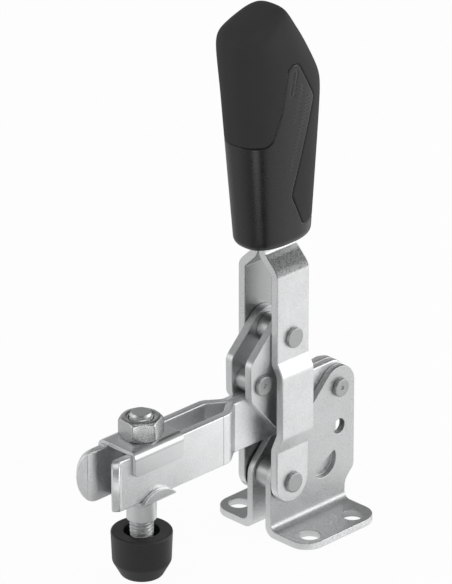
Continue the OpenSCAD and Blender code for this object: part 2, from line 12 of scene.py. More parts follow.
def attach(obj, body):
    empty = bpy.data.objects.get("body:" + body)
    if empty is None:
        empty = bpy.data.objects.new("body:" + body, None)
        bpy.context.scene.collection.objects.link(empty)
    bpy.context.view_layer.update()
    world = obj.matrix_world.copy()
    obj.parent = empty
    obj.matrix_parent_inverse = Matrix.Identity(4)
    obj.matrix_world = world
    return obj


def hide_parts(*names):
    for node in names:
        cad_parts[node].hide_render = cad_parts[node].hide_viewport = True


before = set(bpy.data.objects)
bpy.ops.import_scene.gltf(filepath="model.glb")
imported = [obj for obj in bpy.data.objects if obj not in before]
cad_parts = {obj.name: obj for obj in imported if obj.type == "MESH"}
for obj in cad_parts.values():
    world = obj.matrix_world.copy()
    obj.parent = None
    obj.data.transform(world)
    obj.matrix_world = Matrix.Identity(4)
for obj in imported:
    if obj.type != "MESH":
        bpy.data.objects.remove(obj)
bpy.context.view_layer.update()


# The view
# The clamp is seen from its front left and a little from above, through a long lens,
# so that its upright lines stay nearly parallel.

handle_pivot = np.array([0.0106, 0.0, 0.0195])
view_turn, view_rise = math.radians(134.92), math.radians(25.04)
view_back = np.array([math.sin(view_turn) * math.cos(view_rise),
                      -math.cos(view_turn) * math.cos(view_rise), math.sin(view_rise)])
view_right = np.array([math.cos(view_turn), math.sin(view_turn), 0.0])
view_up = np.cross(view_back, view_right)
camera_back, camera_right, camera_up = 1.9708, -0.01535, 0.05893
lens_length, sensor_width = 372.6, 36.0
nearest_seen, farthest_seen = 0.05, 50.0

camera = bpy.data.objects.new("camera", bpy.data.cameras.new("camera"))
bpy.context.scene.collection.objects.link(camera)
camera.data.lens, camera.data.sensor_width = lens_length, sensor_width
camera.data.clip_start, camera.data.clip_end = nearest_seen, farthest_seen
camera.location = Vector(handle_pivot + view_back * camera_back + view_right * camera_right
                         + view_up * camera_up)
camera.rotation_mode = "QUATERNION"
view_axes = Matrix(np.column_stack([view_right, view_up, view_back]).tolist())
camera.rotation_quaternion = view_axes.to_quaternion()
bpy.context.scene.camera = camera


# Base bracket
# Two mirrored plates are stamped from 2.5 mm sheet steel, with their feet folded outward
# for four bolts, and are zinc plated to a satin finish. The punch leaves soft edges.

plate_edge = 0.00028
fold_side, fold_height, fold_radius, soft_fold_radius = 0.0054, 0.0025, 0.0012, 0.0023


def new_group(name, inputs, outputs):
    """A shader node group with named number or colour sockets, and its input and output nodes."""
    group = bpy.data.node_groups.new(name, "ShaderNodeTree")
    for label, kind, value in inputs:
        socket = group.interface.new_socket(label, in_out="INPUT", socket_type=kind)
        socket.default_value = value
    for label, kind in outputs:
        group.interface.new_socket(label, in_out="OUTPUT", socket_type=kind)
    return group, group.nodes.new("NodeGroupInput"), group.nodes.new("NodeGroupOutput")


def noise(tree, vector, cells, detail, rough=0.55):
    """A noise pattern on the given coordinates, with so many cells for each metre."""
    node = tree.nodes.new("ShaderNodeTexNoise")
    node.inputs["Scale"].default_value = cells
    node.inputs["Detail"].default_value = detail
    node.inputs["Roughness"].default_value = rough
    tree.links.new(vector, node.inputs["Vector"])
    return node.outputs["Fac"]


def arithmetic(tree, kind, a, b=None, c=None):
    """One step of arithmetic: a socket or a number goes into each place."""
    node = tree.nodes.new("ShaderNodeMath")
    node.operation = kind
    for place, value in enumerate((a, b, c)):
        if value is None:
            continue
        if isinstance(value, (int, float)):
            node.inputs[place].default_value = value
        else:
            tree.links.new(value, node.inputs[place])
    return node.outputs[0]


def tinted(tree, tone, tints):
    """A colour from one tone, times a tint for each of red, green and blue."""
    mix = tree.nodes.new("ShaderNodeCombineColor")
    for channel, tint in zip(("Red", "Green", "Blue"), tints):
        tree.links.new(arithmetic(tree, "MULTIPLY", tone, tint), mix.inputs[channel])
    return mix.outputs["Color"]


def satin_zinc_group():
    """Colour, roughness and height of plated sheet: a fine crystalline speckle over broad, faint clouds."""
    crystal_cells, grain_cells, cloud_cells = 3400.0, 1300.0, 95.0
    speckle_shade, cloud_shade = 0.16, 0.20
    speckle_dullness, cloud_dullness = 0.22, 0.16
    group, given, made = new_group(
        "satin_zinc",
        [("Tone", "NodeSocketFloat", 0.7), ("Speckle", "NodeSocketFloat", 1.0),
         ("Dullness", "NodeSocketFloat", 0.4)],
        [("Color", "NodeSocketColor"), ("Roughness", "NodeSocketFloat"), ("Height", "NodeSocketFloat")])
    place = group.nodes.new("ShaderNodeTexCoord").outputs["Object"]
    crystals = arithmetic(group, "SUBTRACT", noise(group, place, crystal_cells, 2.0, 0.6), 0.5)
    grain = arithmetic(group, "SUBTRACT", noise(group, place, grain_cells, 3.0, 0.6), 0.5)
    cloud = arithmetic(group, "SUBTRACT", noise(group, place, cloud_cells, 3.0), 0.5)
    speckled = arithmetic(group, "ADD", grain, crystals)
    speckled = arithmetic(group, "MULTIPLY", speckled, given.outputs["Speckle"])
    clouded = arithmetic(group, "MULTIPLY_ADD", cloud, cloud_shade, 1.0)
    shade = arithmetic(group, "MULTIPLY_ADD", speckled, speckle_shade, clouded)
    tone = arithmetic(group, "MULTIPLY", shade, given.outputs["Tone"])
    dull = arithmetic(group, "MULTIPLY_ADD", cloud, cloud_dullness, given.outputs["Dullness"])
    rough = arithmetic(group, "MULTIPLY_ADD", speckled, speckle_dullness, dull)
    group.links.new(tinted(group, tone, (0.992, 1.0, 1.006)), made.inputs["Color"])
    group.links.new(rough, made.inputs["Roughness"])
    group.links.new(speckled, made.inputs["Height"])
    return group


satin_zinc = satin_zinc_group()


def smooth_range(tree, value, low, high, from_value, to_value):
    """A smooth step between two numbers as the value goes from low to high."""
    node = tree.nodes.new("ShaderNodeMapRange")
    node.interpolation_type = "SMOOTHSTEP"
    labels = ("From Min", "From Max", "To Min", "To Max")
    for label, number in zip(labels, (low, high, from_value, to_value)):
        node.inputs[label].default_value = number
    tree.links.new(value, node.inputs["Value"])
    return node.outputs["Result"]


def place_and_outlook(tree):
    """The place on the piece, and how far the face looks away from the clamp's middle plane:
    1 straight out, -1 straight in."""
    place, facing = tree.nodes.new("ShaderNodeSeparateXYZ"), tree.nodes.new("ShaderNodeSeparateXYZ")
    tree.links.new(tree.nodes.new("ShaderNodeTexCoord").outputs["Object"], place.inputs[0])
    tree.links.new(tree.nodes.new("ShaderNodeNewGeometry").outputs["Normal"], facing.inputs[0])
    side = arithmetic(tree, "SIGN", place.outputs["Y"])
    return place, arithmetic(tree, "MULTIPLY", facing.outputs["Y"], side)


def marked_band(tree, axis, low, high, soft):
    """1 between two distances from the middle along an axis, on the faces that look outward, and 0
    elsewhere. The band's ends are softened over the given width."""
    place, outlook = place_and_outlook(tree)
    distance = arithmetic(tree, "ABSOLUTE", place.outputs[axis])
    after = smooth_range(tree, distance, low, low + soft, 0.0, 1.0)
    before = smooth_range(tree, distance, high - soft, high, 1.0, 0.0)
    outward = smooth_range(tree, outlook, 0.3, 0.6, 0.0, 1.0)
    return arithmetic(tree, "MULTIPLY", outward, arithmetic(tree, "MULTIPLY", after, before))


def inner_shade_faces(tree):
    """1 on the faces that look at the clamp's middle plane, where painted shade goes, and 0 elsewhere."""
    outlook = place_and_outlook(tree)[1]
    return smooth_range(tree, outlook, -0.6, -0.3, 1.0, 0.0)


def plated_steel(name, tone, dullness, speckle=1.0, relief=0.5, mark=None, inside=0.0):
    """A zinc-plated steel: the satin zinc group drives the colour, roughness and bump of a metal.
    A mark is a band (axis, low, high, soft) whose tone drops and whose speckle grows by the given shares; a
    negative share makes it lighter. The faces inside are darkened by the given share: painted shade where
    the parts shade each other."""
    bump_height = 0.00003
    material = bpy.data.materials.new(name)
    material.use_nodes = True
    tree = material.node_tree
    shader = tree.nodes["Principled BSDF"]
    shader.inputs["Metallic"].default_value = 1.0
    skin = tree.nodes.new("ShaderNodeGroup")
    skin.node_tree = satin_zinc
    for label, value in (("Tone", tone), ("Speckle", speckle), ("Dullness", dullness)):
        skin.inputs[label].default_value = value
    if mark:
        *where, darker, coarser = mark
        band = marked_band(tree, *where)
        band_tone = arithmetic(tree, "MULTIPLY_ADD", band, -darker * tone, tone)
        band_speckle = arithmetic(tree, "MULTIPLY_ADD", band, coarser * speckle, speckle)
        tree.links.new(band_tone, skin.inputs["Tone"])
        tree.links.new(band_speckle, skin.inputs["Speckle"])
    colour = skin.outputs["Color"]
    # Painted shade: the faces that look inward are darkened by the given share.
    if inside:
        shade = tree.nodes.new("ShaderNodeVectorMath")
        shade.operation = "SCALE"
        tree.links.new(colour, shade.inputs[0])
        unshaded_share = arithmetic(tree, "MULTIPLY_ADD", inner_shade_faces(tree), -inside, 1.0)
        tree.links.new(unshaded_share, shade.inputs["Scale"])
        colour = shade.outputs[0]
    bump = tree.nodes.new("ShaderNodeBump")
    bump.inputs["Strength"].default_value = relief
    bump.inputs["Distance"].default_value = bump_height
    tree.links.new(colour, shader.inputs["Base Color"])
    tree.links.new(skin.outputs["Roughness"], shader.inputs["Roughness"])
    tree.links.new(skin.outputs["Height"], bump.inputs["Height"])
    tree.links.new(bump.outputs["Normal"], shader.inputs["Normal"])
    return material


def add_piece(name, mesh, material, body, nodes):
    """Makes a mesh a finished piece: smooth, with its material, riding on a body, in place of CAD nodes."""
    mesh.polygons.foreach_set("use_smooth", np.ones(len(mesh.polygons), bool))
    mesh.materials.clear()
    mesh.materials.append(material)
    piece = bpy.data.objects.new(name, mesh)
    bpy.context.scene.collection.objects.link(piece)
    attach(piece, body)
    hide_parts(*nodes)
    return piece


def merged_copy(node, name):
    """The mesh of a CAD node with its loose triangles joined and each flat made one face."""
    weld_distance, flat_angle = 2e-6, math.radians(0.4)
    joined = bmesh.new()
    joined.from_mesh(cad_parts[node].data)
    bmesh.ops.remove_doubles(joined, verts=joined.verts, dist=weld_distance)
    bmesh.ops.dissolve_limit(joined, angle_limit=flat_angle, verts=joined.verts, edges=joined.edges)
    mesh = bpy.data.meshes.new(name)
    joined.to_mesh(mesh)
    joined.free()
    if "custom_normal" in mesh.attributes:
        mesh.attributes.remove(mesh.attributes["custom_normal"])
    return mesh


def keep_flats(piece):
    """Keeps the flats of a piece flat in the shading beside its small rounded edges."""
    flats = piece.modifiers.new("flats", "WEIGHTED_NORMAL")
    flats.weight, flats.keep_sharp = 50, False
    return piece


def stamped_piece(name, node, material, body, edge, sharpest=35.0):
    """A stamped and folded sheet: the CAD solid, with each edge that is sharper than the given angle
    softly broken over the given width."""
    piece = add_piece(name, merged_copy(node, name), material, body, [node])
    bevel = piece.modifiers.new("punched_edge", "BEVEL")
    bevel.width, bevel.segments = edge, 2
    bevel.limit_method, bevel.angle_limit = "ANGLE", math.radians(sharpest)
    bevel.use_clamp_overlap = False
    return keep_flats(piece)


def mesh_points(mesh):
    """The places of a mesh's points, as one array with a row for each."""
    points = np.empty(len(mesh.vertices) * 3)
    mesh.vertices.foreach_get("co", points)
    return points.reshape(-1, 3)


def set_mesh_points(mesh, points):
    """Puts an array of places back into a mesh."""
    mesh.vertices.foreach_set("co", points.ravel())
    mesh.update()


def widen_bend(piece, y, z, toward_y, toward_z, radius, wider):
    """Gives a bend along X a wider radius. Its flats meet at (y, z) on both sides of the clamp and the arc
    lies toward the given sides, so each point of the arc moves to the same angle on the wider one."""
    close = 0.00002
    points = mesh_points(piece.data)
    side = np.sign(points[:, 1])
    across = (np.abs(points[:, 1]) - y) * toward_y - radius
    up = (points[:, 2] - z) * toward_z - radius
    on_arc = (np.abs(np.hypot(across, up) - radius) < close) & (across < close / 2) & (up < close / 2)
    growth = wider / radius
    moved = np.stack([points[:, 0], side * (y + toward_y * (across * growth + wider)),
                      z + toward_z * (up * growth + wider)], axis=1)
    set_mesh_points(piece.data, np.where(on_arc[:, None], moved, points))


base_steel = plated_steel("base_plate_zinc", tone=0.61, dullness=0.42, speckle=2.8,
                          mark=("Y", 0.0182, 0.0240, 0.0030, -0.24, 0.9))
for name, node in (("left_base_plate", "base_plate_left"), ("right_base_plate", "base_plate_right")):
    plate = stamped_piece(name, node, base_steel, "base", plate_edge)
    widen_bend(plate, fold_side, fold_height, 1, 1, fold_radius, soft_fold_radius)


# Bushes
# Case-hardened steel tubes keep the plates apart and turn on the rivets. They are turned
# on a lathe, with a small chamfer at each end, and are left duller than the plates.

bush_chamfer = 0.0003
pivot_of = {
    "handle": handle_pivot,
    "arm": handle_pivot + [-0.0252, 0, 0.0244],
    "link_foot": handle_pivot + [-0.0004, 0, 0.025],
    "link_head": handle_pivot + [0, 0, 0.052],
    "stop": handle_pivot + [0.0108, 0, 0.0374],
}


def grid_mesh(name, points, ring=False):
    """A mesh through a grid of points, in rows round the axis and columns along the profile. A ring's
    profile closes on itself. Otherwise a fan to its middle closes each of the first and last columns."""
    rows, columns = points.shape[:2]
    corners = points.reshape(-1, 3)
    row = np.arange(rows)[:, None] * columns
    next_row = np.roll(row, -1, axis=0)
    column = np.arange(columns if ring else columns - 1)[None, :]
    next_column = (column + 1) % columns
    quads = [row + column, next_row + column, next_row + next_column, row + next_column]
    faces = np.stack(quads, axis=-1).reshape(-1, 4).tolist()
    if not ring:
        first, last = np.full((rows, 1), len(corners)), np.full((rows, 1), len(corners) + 1)
        corners = np.vstack([corners, points[:, 0].mean(0), points[:, -1].mean(0)])
        faces += np.hstack([first, next_row, row]).tolist()
        faces += np.hstack([last, row + columns - 1, next_row + columns - 1]).tolist()
    mesh = bpy.data.meshes.new(name)
    mesh.from_pydata(corners.tolist(), [], faces)
    mesh.validate()
    return mesh


def face_outward(mesh):
    """Turns all faces of a closed mesh outward."""
    turned_out = bmesh.new()
    turned_out.from_mesh(mesh)
    bmesh.ops.remove_doubles(turned_out, verts=turned_out.verts, dist=1e-7)
    bmesh.ops.recalc_face_normals(turned_out, faces=turned_out.faces)
    turned_out.to_mesh(mesh)
    turned_out.free()
    return mesh


def turned_points(profile, centre, axis, steps):
    """Surface of revolution: centre + height along the axis + radius times (cos a, sin a) across it."""
    across = np.array([1.0, 0, 0])
    beside = np.cross(axis, across)
    angle = np.linspace(0, 2 * np.pi, steps, endpoint=False)[:, None, None]
    radius, height = profile[None, :, 0, None], profile[None, :, 1, None]
    return centre + height * np.array(axis) + radius * (np.cos(angle) * across + np.sin(angle) * beside)


def turned_bush(name, node, material, body, pivot, outer, bore, half):
    """A tube across the clamp: a closed profile with a chamfer at each rim, carried round the pivot."""
    rim = bush_chamfer
    loop = np.array([[outer, -half + rim], [outer, half - rim], [outer - rim, half], [bore + rim, half],
                     [bore, half - rim], [bore, -half + rim], [bore + rim, -half], [outer - rim, -half]])
    points = turned_points(loop, pivot, (0, 1, 0), 56)
    mesh = face_outward(grid_mesh(name, points, ring=True))
    keep_flats(add_piece(name, mesh, material, body, [node]))


bush_steel = plated_steel("hardened_bush_steel", tone=0.50, dullness=0.36, speckle=0.8)
for name, node, body, pivot, outer, bore, half in (
        ("base_spacer_sleeve", "base_spacer_bush", "base", "handle", 0.0055, 0.0025, 0.0029),
        ("link_spacer_sleeve", "link_spacer_bush", "link", "link_head", 0.0050, 0.0025, 0.0029),
        ("stop_sleeve", "stop_bush", "link", "stop", 0.0040, 0.0025, 0.0029),
        ("arm_rear_sleeve", "arm_rear_bush", "arm", "arm", 0.0040, 0.00255, 0.0028),
        ("arm_front_sleeve", "arm_front_bush", "arm", "link_foot", 0.0040, 0.00255, 0.0028)):
    turned_bush(name, node, bush_steel, body, pivot_of[pivot], outer, bore, half)


# Pivot rivets
# Steel pins of 5 mm are set cold in a press. Their ends become low round heads with a
# soft edge, and the two that are closed with a pointed tool keep a small round dimple.

rivet_shank, head_radius, head_height, dished = 0.0025, 0.0035, 0.0013, 0.00008
strap_face, stub_start, stub_flat = 0.0089, 0.00592, 0.0012
rivet_steel = plated_steel("pressed_rivet_steel", tone=0.44, dullness=0.40, speckle=1.8, relief=0.8)


def rounded_profile(corners, steps=4):
    """A line through corners (radius, height, rounding), each corner replaced by an arc of that rounding."""
    corners = np.asarray(corners, float)
    line = [corners[:1, :2]]
    share = np.linspace(0, 1, steps + 1)[:, None]
    for before, here, after in zip(corners[:-2], corners[1:-1], corners[2:]):
        if here[2] == 0:
            line.append(here[None, :2])
            continue
        into, away = here[:2] - before[:2], after[:2] - here[:2]
        into, away = into / np.linalg.norm(into), away / np.linalg.norm(away)
        start, end = here[:2] - into * here[2], here[:2] + away * here[2]
        line.append((1 - share) ** 2 * start + 2 * share * (1 - share) * here[:2] + share ** 2 * end)
    line.append(corners[-1:, :2])
    return np.vstack(line)


def rivet_profile(shoulder, head, height, dimple):
    """Half of a rivet from its middle outward: shank, head with a rounded rim, and a dished face. A dimple
    has a slightly sunk mouth, then drops to a small round floor."""
    top = shoulder + height
    rim = min(0.0006, 0.7 * height)
    face = [(head, shoulder, 0.0), (head, top, rim), (head - 0.0009, top - 0.00002, 0)]
    if dimple:
        mouth, wall, floor, soft = 0.0013, 0.0008, 0.0004, 0.0001
        face += [(mouth, top - 0.00012, soft), (wall, top - 0.0001, soft), (floor, top - dimple, soft),
                 (0.0, top - dimple, 0)]
    else:
        face += [(0.0, top - dished, 0)]
    return rounded_profile([(rivet_shank, 0, 0), (rivet_shank, shoulder, 0), *face])


def rivet_stub(side):
    """The outer end of the upper link rivet on one side: its stub in the strap and its head."""
    half = rivet_profile(strap_face, head_radius, head_height, 0.0)
    half[0, 1] = stub_start
    whole = np.vstack([[[stub_flat, stub_start]], half]) * [1, side]
    return turned_points(whole[:-1], pivot_of["link_head"], (0, 1, 0), 64)


for name, node, body, pivot, shoulder, head, height, dimple in (
        ("handle_pivot_rivet", "handle_pivot_pin", "base", "handle", 0.00895, head_radius, head_height, 0.0),
        ("arm_pivot_rivet", "arm_pivot_pin", "base", "arm", 0.0054, 0.0032, 0.0016, 0.0006),
        ("stop_sleeve_rivet", "stop_rivet", "link", "stop", 0.0058, head_radius, head_height, 0.0007),
        ("link_foot_rivet", "link_arm_pin", "link", "link_foot", 0.0058, 0.0032, 0.0005, 0.0)):
    half = rivet_profile(shoulder, head, height, dimple)
    whole = np.vstack([half[::-1] * [1, -1], half[1:]])
    mesh = face_outward(grid_mesh(name, turned_points(whole[1:-1], pivot_of[pivot], (0, 1, 0), 64)))
    keep_flats(add_piece(name, mesh, rivet_steel, body, [node]))

stub_meshes = [face_outward(grid_mesh("strap_rivet", rivet_stub(side))) for side in (1, -1)]
both_stubs = bmesh.new()
for stub in stub_meshes:
    both_stubs.from_mesh(stub)
both_stubs.to_mesh(stub_meshes[0])
both_stubs.free()
keep_flats(add_piece("strap_link_rivets", stub_meshes[0], rivet_steel, "handle",
                     ["handle_link_rivets"]))
hidden_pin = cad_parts["link_head_pin"]
hidden_pin.data.materials.clear()
hidden_pin.data.materials.append(rivet_steel)


# Holding arm
# Two strips of 2.8 mm sheet lie back to back on the pivots and spread apart in front, so
# that the screw can slide between them. Their tips are flared outward and rounded.

arm_edge = 0.00055
# The arm's mark is painted shade: a faint dark line 40 mm out on the outer faces, where the strip bends
# slightly.
arm_steel = plated_steel("arm_zinc", tone=0.87, dullness=0.40, speckle=1.8,
                         mark=("X", 0.0400, 0.0406, 0.0002, 0.36, 0.0))
stamped_piece("left_arm_strip", "arm_strip_left", arm_steel, "arm", arm_edge)
stamped_piece("right_arm_strip", "arm_strip_right", arm_steel, "arm", arm_edge)


# Link
# Two cranked plates join the arm to the handle. Past the dead point their stop bush rests
# on the top edge of the arm, which locks the clamp.

link_edge = 0.0003
link_steel = plated_steel("link_zinc", tone=0.75, dullness=0.40, speckle=1.4)
stamped_piece("left_link_plate", "link_plate_left", link_steel, "link", link_edge)
stamped_piece("right_link_plate", "link_plate_right", link_steel, "link", link_edge)


# Handle straps
# Two 3 mm straps bulge outward over the link rivets and close together below the grip,
# where the plated skin is stretched and looks coarser; there the neck is also darkened with painted
# shade, and the inner faces carry painted shade.

strap_edge = 0.00045
# Painted shade: the neck band below the grip is 62 % darker and the inner faces 38 % darker. The neck band's
# coarser speckle is the stretched skin.
strap_steel = plated_steel("strap_zinc", tone=0.76, dullness=0.40, speckle=2.0,
                           mark=("Z", 0.0938, 0.1004, 0.0012, 0.62, 3.2), inside=0.38)
stamped_piece("left_strap", "handle_strap_left", strap_steel, "handle", strap_edge)
stamped_piece("right_strap", "handle_strap_right", strap_steel, "handle", strap_edge)


# Grip
# A hard moulded body is closed over the strap tang, and a smoother soft skin is moulded
# over its top and back. The body shows at the lower end and as a leaf on each side.

grip_low, grip_top, grip_rim, grip_power = 84.4, 165.9, 3.0, 0.8
joint_drop, joint_width = 0.30, 0.42
hidden_drop = 1.35
leaf_rib_start, leaf_rib_end = (2.15, 145.6), (3.45, 138.3)
leaf_rib_ring, leaf_rib_height, leaf_rib_width = 0.78, 0.22, 0.20
rib_rows = (((-0.9, 140.4), (1.9, 128.6)), ((-4.0, 135.4), (2.9, 112.0)))
rib_pitch, rib_height, rib_half_length = 1.3, 0.12, 0.55


def soft_least(a, b, k):
    """The smaller of two curves, with their crossing rounded over a width of about k."""
    return (a + b - np.sqrt((a - b) ** 2 + k * k)) / 2


def closing(u, r):
    """How far a rounded rim of radius r has drawn in at the distance u from its end."""
    v = np.clip(r - u, 0, r)
    return r - np.sqrt(r * r - v * v)


def grip_depths(z):
    """Depth of the grip in front of the handle pivot and behind it: each line leans outward from the low
    end, until it meets the slope that runs on to the crest."""
    rise, drop = z - grip_low, grip_top - z
    return (soft_least(14.8 + 0.096 * rise, 5.3 + 2.45 * drop, 4.4),
            soft_least(13.1 + 0.068 * rise, 0.5 + 0.62 * drop, 2.8))


def grip_surface(angle, z):
    """Point of the grip in mm from the handle pivot: at each height a superellipse of power 2.5 lies
    between the front, rear and side lines. Below, these draw in round the rim. Above, the section shrinks
    by sqrt(1 - (depth at the crest / depth here) squared), which rounds it off."""
    front, rear = grip_depths(z)
    half = (front + rear) / 2
    side = soft_least(9.3 + 0.043 * (z - grip_low), 7.7 + 0.5 * (grip_top - z), 2.1)
    drawn = closing(z - grip_low, grip_rim)
    share = np.sqrt(np.clip(1 - (sum(grip_depths(grip_top)) / 2 / half) ** 2, 0, 1))
    c, s = np.cos(angle), np.sin(angle)
    return np.stack([(front - rear) / 2 + (half - drawn) * share * np.sign(c) * np.abs(c) ** grip_power,
                     (side - drawn) * share * np.sign(s) * np.abs(s) ** grip_power, z + 0 * angle], axis=-1)


def rounded_outline(corners, steps=8):
    """Closed outline through corners (x, z, radius), with a true arc at each rounded corner."""
    corners = np.asarray(corners, float)
    line = []
    for before, here, after in zip(np.roll(corners, 1, 0), corners, np.roll(corners, -1, 0)):
        a, b = before[:2] - here[:2], after[:2] - here[:2]
        a, b = a / np.linalg.norm(a), b / np.linalg.norm(b)
        half = np.arccos(np.clip(a @ b, -1, 1)) / 2
        if here[2] == 0:
            line.append(here[None, :2])
            continue
        middle = here[:2] + (a + b) / np.linalg.norm(a + b) * here[2] / np.sin(half)
        first = here[:2] + a * here[2] / np.tan(half) - middle
        last = here[:2] + b * here[2] / np.tan(half) - middle
        share = np.linspace(0, 1, steps + 1)[:, None]
        arc = first * (1 - share) + last * share
        line.append(middle + arc / np.linalg.norm(arc, axis=1)[:, None] * here[2])
    return np.vstack(line)


def distance_to_line(points, a, b):
    """Distance from a straight stretch between two points."""
    along = np.subtract(b, a)
    share = np.clip((points - a) @ along / (along @ along), 0, 1)
    return np.linalg.norm(points - a - share[:, None] * along, axis=1)


def depth_inside(points, outline):
    """Signed distance from the outline: positive inside it, negative outside."""
    nearest, inside = np.full(len(points), 1e9), np.zeros(len(points), bool)
    for a, b in zip(outline, np.roll(outline, -1, 0)):
        nearest = np.minimum(nearest, distance_to_line(points, a, b))
        crosses = (a[1] > points[:, 1]) != (b[1] > points[:, 1])
        if a[1] != b[1]:
            line_x = (b[0] - a[0]) * (points[:, 1] - a[1]) / (b[1] - a[1]) + a[0]
            inside ^= crosses & (points[:, 0] < line_x)
    return np.where(inside, nearest, -nearest)


def fade(x, low, high):
    """Rises smoothly from 0 at low to 1 at high."""
    t = np.clip((x - low) / (high - low), 0, 1)
    return t * t * (3 - 2 * t)


side_turns = np.linspace(0.5, np.pi - 0.5, 139)
front_turns = np.linspace(-0.5, 0.5, 31)[1:-1]
grip_turns = np.concatenate([side_turns, front_turns + np.pi, side_turns + np.pi, front_turns + 2 * np.pi])
grip_heights = grip_low + np.concatenate([
    grip_rim * (1 - np.cos(np.linspace(0, np.pi / 2, 9)))[:-1], np.linspace(grip_rim, 5.6, 6)[:-1],
    np.linspace(5.6, 72.5, 240)[:-1], 81.5 - 9.0 * (1 - np.linspace(0, 0.985, 40)) ** 2])
turn_grid, height_grid = np.meshgrid(grip_turns, grip_heights, indexing="ij")
grip_points = grip_surface(turn_grid, height_grid)
turn_step = grip_surface(turn_grid + 1e-4, height_grid) - grip_surface(turn_grid - 1e-4, height_grid)
rise_step = (grip_surface(turn_grid, np.clip(height_grid + 1e-3, grip_low, grip_top))
             - grip_surface(turn_grid, np.clip(height_grid - 1e-3, grip_low, grip_top)))
grip_normals = np.cross(turn_step, rise_step)
grip_normals /= np.maximum(np.linalg.norm(grip_normals, axis=-1, keepdims=True), 1e-12)

hard_outline = rounded_outline([
    (-40, 70, 0), (40, 70, 0), (40, 121.2, 0), (11, 122.2, 4), (7.5, 133, 20), (4.75, 155.1, 3.2),
    (-7.4, 134.9, 3), (1.8, 102.6, 2), (-4, 90.8, 2), (-40, 90.8, 0)])
side_view = grip_points[..., [0, 2]].reshape(-1, 2)
hard_depth = depth_inside(side_view, hard_outline).reshape(turn_grid.shape)


def moulded_part(depth):
    """How far a moulded part stands off the common surface: 0 in its own area, rounding down into the
    joint, and well below it under the other part. It fades out where the grip is slim."""
    edge = (-joint_drop * (1 - fade(depth, 0.0, joint_width))
            - hidden_drop * (1 - fade(depth, -joint_width, 0.02)))
    reach = np.minimum(np.abs(grip_points[..., 1]).max(0), np.ptp(grip_points[..., 0], axis=0) / 2)
    return edge * np.clip(reach / 3.0, 0.1, 1)[None, :]


def leaf_ribs():
    """Height of the marks on the leaf: a groove round one closed rib, which follows a bell curve of its
    distance, and two rows of cross ribs, which follow a cosine along the row."""
    ring = distance_to_line(side_view, leaf_rib_start, leaf_rib_end).reshape(turn_grid.shape)
    marks = (-leaf_rib_height * np.exp(-((ring - leaf_rib_ring) / leaf_rib_width) ** 2)
             + 0.06 * (1 - fade(ring, 0.4, 0.7)))
    rows = 0.0
    for start, end in rib_rows:
        line = np.subtract(end, start)
        beside = distance_to_line(side_view, start, end).reshape(turn_grid.shape)
        along = (side_view @ (line / np.linalg.norm(line))).reshape(turn_grid.shape)
        length = 1 - fade(beside, rib_half_length, rib_half_length + 0.3)
        rows = rows + rib_height * length * np.cos(2 * np.pi * along / rib_pitch)
    return marks + rows


def grip_part(name, lift, material, node):
    """One moulded part: the grip's surface moved along its normals by the given lift."""
    points = (grip_points + grip_normals * lift[..., None]) / 1000 + handle_pivot
    add_piece(name, face_outward(grid_mesh(name, points)), material, "handle", [node])


def moulded_group():
    """Colour, roughness and height of a moulded surface: spark-eroded grain and a little handling shine."""
    cloud_cells, cloud_shade, cloud_dullness, pit_dullness = 120.0, 0.25, 0.18, 0.12
    group, given, made = new_group(
        "moulded_surface",
        [("Tone", "NodeSocketFloat", 0.03), ("Grain size", "NodeSocketFloat", 3000.0),
         ("Contrast", "NodeSocketFloat", 0.3), ("Dullness", "NodeSocketFloat", 0.5)],
        [("Color", "NodeSocketColor"), ("Roughness", "NodeSocketFloat"), ("Height", "NodeSocketFloat")])
    place = group.nodes.new("ShaderNodeTexCoord").outputs["Object"]
    pits = noise(group, place, 3000.0, 2.0)
    group.links.new(given.outputs["Grain size"], pits.node.inputs["Scale"])
    pits = arithmetic(group, "SUBTRACT", pits, 0.5)
    cloud = arithmetic(group, "SUBTRACT", noise(group, place, cloud_cells, 3.0), 0.5)
    shade = arithmetic(group, "ADD", arithmetic(group, "MULTIPLY", pits, given.outputs["Contrast"]), 1.0)
    shade = arithmetic(group, "MULTIPLY_ADD", cloud, cloud_shade, shade)
    tone = arithmetic(group, "MULTIPLY", shade, given.outputs["Tone"])
    rough = arithmetic(group, "MULTIPLY_ADD", pits, pit_dullness, given.outputs["Dullness"])
    rough = arithmetic(group, "MULTIPLY_ADD", cloud, cloud_dullness, rough)
    group.links.new(tinted(group, tone, (1.0, 1.0, 1.03)), made.inputs["Color"])
    group.links.new(rough, made.inputs["Roughness"])
    group.links.new(pits, made.inputs["Height"])
    return group


moulded_surface = moulded_group()


def moulded_material(name, tone, grain_size, contrast, dullness, relief, depth, gloss):
    """A moulded plastic or rubber: the moulded surface group drives its colour, roughness and bump."""
    material = bpy.data.materials.new(name)
    material.use_nodes = True
    tree = material.node_tree
    shader = tree.nodes["Principled BSDF"]
    shader.inputs["Specular IOR Level"].default_value = gloss
    skin = tree.nodes.new("ShaderNodeGroup")
    skin.node_tree = moulded_surface
    settings = (("Tone", tone), ("Grain size", grain_size), ("Contrast", contrast), ("Dullness", dullness))
    for label, value in settings:
        skin.inputs[label].default_value = value
    bump = tree.nodes.new("ShaderNodeBump")
    bump.inputs["Strength"].default_value = relief
    bump.inputs["Distance"].default_value = depth
    tree.links.new(skin.outputs["Color"], shader.inputs["Base Color"])
    tree.links.new(skin.outputs["Roughness"], shader.inputs["Roughness"])
    tree.links.new(skin.outputs["Height"], bump.inputs["Height"])
    tree.links.new(bump.outputs["Normal"], shader.inputs["Normal"])
    return material


